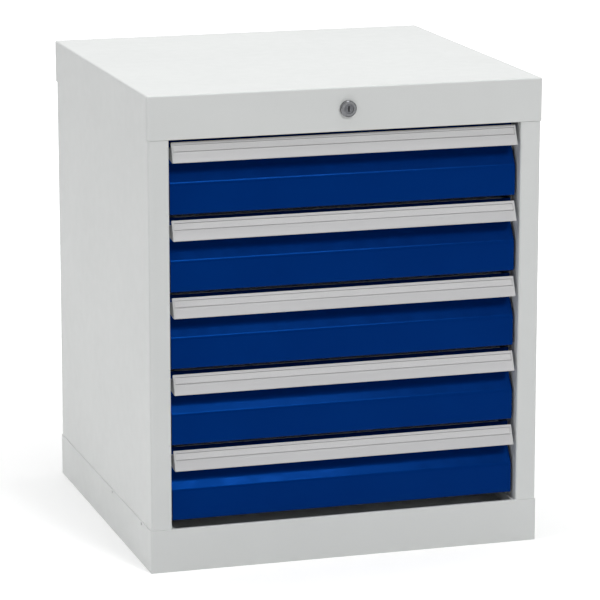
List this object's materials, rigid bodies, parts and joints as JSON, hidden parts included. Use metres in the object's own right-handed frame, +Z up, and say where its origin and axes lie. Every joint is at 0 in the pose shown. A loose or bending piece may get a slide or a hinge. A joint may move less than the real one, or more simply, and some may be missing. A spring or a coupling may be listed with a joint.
{
  "type": "drawer unit",
  "caption": "Free-standing folded-steel drawer cabinet with equal blue-fronted drawers, full-width grip strips with label pockets, full-extension slides and one central lock.",
  "frame": {"origin": "on the floor, under the middle of the whole unit's bounding box", "axes": "+Z up, +X to the right as seen from the front, +Y from the front to the back; the drawers open towards -Y"},
  "size_m": [0.51, 0.495, 0.6],
  "materials": {
    "case_grey": "light grey powder coat, fine orange-peel texture, semi-gloss",
    "front_blue": "deep blue powder coat, satin",
    "inner_grey": "light grey powder coat, satin",
    "grip_grey": "satin, lightly brushed along its length",
    "cap_grey": "fine grain",
    "label_pale": "clear-covered paper strip",
    "slide_zinc": "bright zinc plated",
    "rivet_zinc": "zinc plated",
    "lock_chrome": "polished chrome",
    "plug_nickel": "satin nickel, turned",
    "steel_plain": "zinc plated"
  },
  "bodies": {
    "cabinet": {"side_panel_left": "case_grey", "side_panel_right": "case_grey", "back_panel": "case_grey", "top_cap": "case_grey", "base_plinth": "case_grey", "slide_uprights": "inner_grey", "case_rivets": "rivet_zinc", "lock_barrel": "lock_chrome", "lock_nut": "steel_plain", "shaft_bracket": "steel_plain", "bar_guides": "steel_plain", "outer_slides_1": "slide_zinc", "outer_slides_2": "slide_zinc", "outer_slides_3": "slide_zinc", "outer_slides_4": "slide_zinc", "outer_slides_5": "slide_zinc"},
    "lock": {"lock_plug": "plug_nickel", "lock_shaft": "steel_plain"},
    "lock_bar": {"lock_bar": "steel_plain"},
    "drawer_1": {"drawer_tray_1": "inner_grey", "drawer_front_1": "front_blue", "grip_strip_1": "grip_grey", "grip_end_caps_1": "cap_grey", "label_strip_1": "label_pale", "inner_slides_1": "slide_zinc"},
    "mid_slide_1": {"mid_slides_1": "slide_zinc", "ball_cages_1": "slide_zinc"},
    "drawer_2": {"drawer_tray_2": "inner_grey", "drawer_front_2": "front_blue", "grip_strip_2": "grip_grey", "grip_end_caps_2": "cap_grey", "label_strip_2": "label_pale", "inner_slides_2": "slide_zinc"},
    "mid_slide_2": {"mid_slides_2": "slide_zinc", "ball_cages_2": "slide_zinc"},
    "drawer_3": {"drawer_tray_3": "inner_grey", "drawer_front_3": "front_blue", "grip_strip_3": "grip_grey", "grip_end_caps_3": "cap_grey", "label_strip_3": "label_pale", "inner_slides_3": "slide_zinc"},
    "mid_slide_3": {"mid_slides_3": "slide_zinc", "ball_cages_3": "slide_zinc"},
    "drawer_4": {"drawer_tray_4": "inner_grey", "drawer_front_4": "front_blue", "grip_strip_4": "grip_grey", "grip_end_caps_4": "cap_grey", "label_strip_4": "label_pale", "inner_slides_4": "slide_zinc"},
    "mid_slide_4": {"mid_slides_4": "slide_zinc", "ball_cages_4": "slide_zinc"},
    "drawer_5": {"drawer_tray_5": "inner_grey", "drawer_front_5": "front_blue", "grip_strip_5": "grip_grey", "grip_end_caps_5": "cap_grey", "label_strip_5": "label_pale", "inner_slides_5": "slide_zinc"},
    "mid_slide_5": {"mid_slides_5": "slide_zinc", "ball_cages_5": "slide_zinc"}
  },
  "joints": [
    {"name": "drawer_1_slide", "type": "slide", "parent": "cabinet", "child": "drawer_1", "axis": [0, -1, 0], "range_m": [0, 0.4]},
    {"name": "drawer_2_slide", "type": "slide", "parent": "cabinet", "child": "drawer_2", "axis": [0, -1, 0], "range_m": [0, 0.4]},
    {"name": "drawer_3_slide", "type": "slide", "parent": "cabinet", "child": "drawer_3", "axis": [0, -1, 0], "range_m": [0, 0.4]},
    {"name": "drawer_4_slide", "type": "slide", "parent": "cabinet", "child": "drawer_4", "axis": [0, -1, 0], "range_m": [0, 0.4]},
    {"name": "drawer_5_slide", "type": "slide", "parent": "cabinet", "child": "drawer_5", "axis": [0, -1, 0], "range_m": [0, 0.4]},
    {"name": "mid_slide_1_travel", "type": "slide", "parent": "cabinet", "child": "mid_slide_1", "axis": [0, -1, 0], "range_m": [0, 0.2]},
    {"name": "mid_slide_2_travel", "type": "slide", "parent": "cabinet", "child": "mid_slide_2", "axis": [0, -1, 0], "range_m": [0, 0.2]},
    {"name": "mid_slide_3_travel", "type": "slide", "parent": "cabinet", "child": "mid_slide_3", "axis": [0, -1, 0], "range_m": [0, 0.2]},
    {"name": "mid_slide_4_travel", "type": "slide", "parent": "cabinet", "child": "mid_slide_4", "axis": [0, -1, 0], "range_m": [0, 0.2]},
    {"name": "mid_slide_5_travel", "type": "slide", "parent": "cabinet", "child": "mid_slide_5", "axis": [0, -1, 0], "range_m": [0, 0.2]},
    {"name": "lock_turn", "type": "hinge", "parent": "cabinet", "child": "lock", "pos_m": [0, -0.2425, 0.573], "axis": [0, 1, 0], "range_deg": [0, 90]},
    {"name": "lock_bar_lift", "type": "slide", "parent": "cabinet", "child": "lock_bar", "axis": [0, 0, 1], "range_m": [0, 0.01414]}
  ],
  "couplings": [
    {"joint": "mid_slide_1_travel", "follows": "drawer_1_slide", "ratio": 0.5},
    {"joint": "mid_slide_2_travel", "follows": "drawer_2_slide", "ratio": 0.5},
    {"joint": "mid_slide_3_travel", "follows": "drawer_3_slide", "ratio": 0.5},
    {"joint": "mid_slide_4_travel", "follows": "drawer_4_slide", "ratio": 0.5},
    {"joint": "mid_slide_5_travel", "follows": "drawer_5_slide", "ratio": 0.5},
    {"joint": "lock_turn", "follows": "lock_bar_lift", "rad_per_m": 111.07}
  ]
}
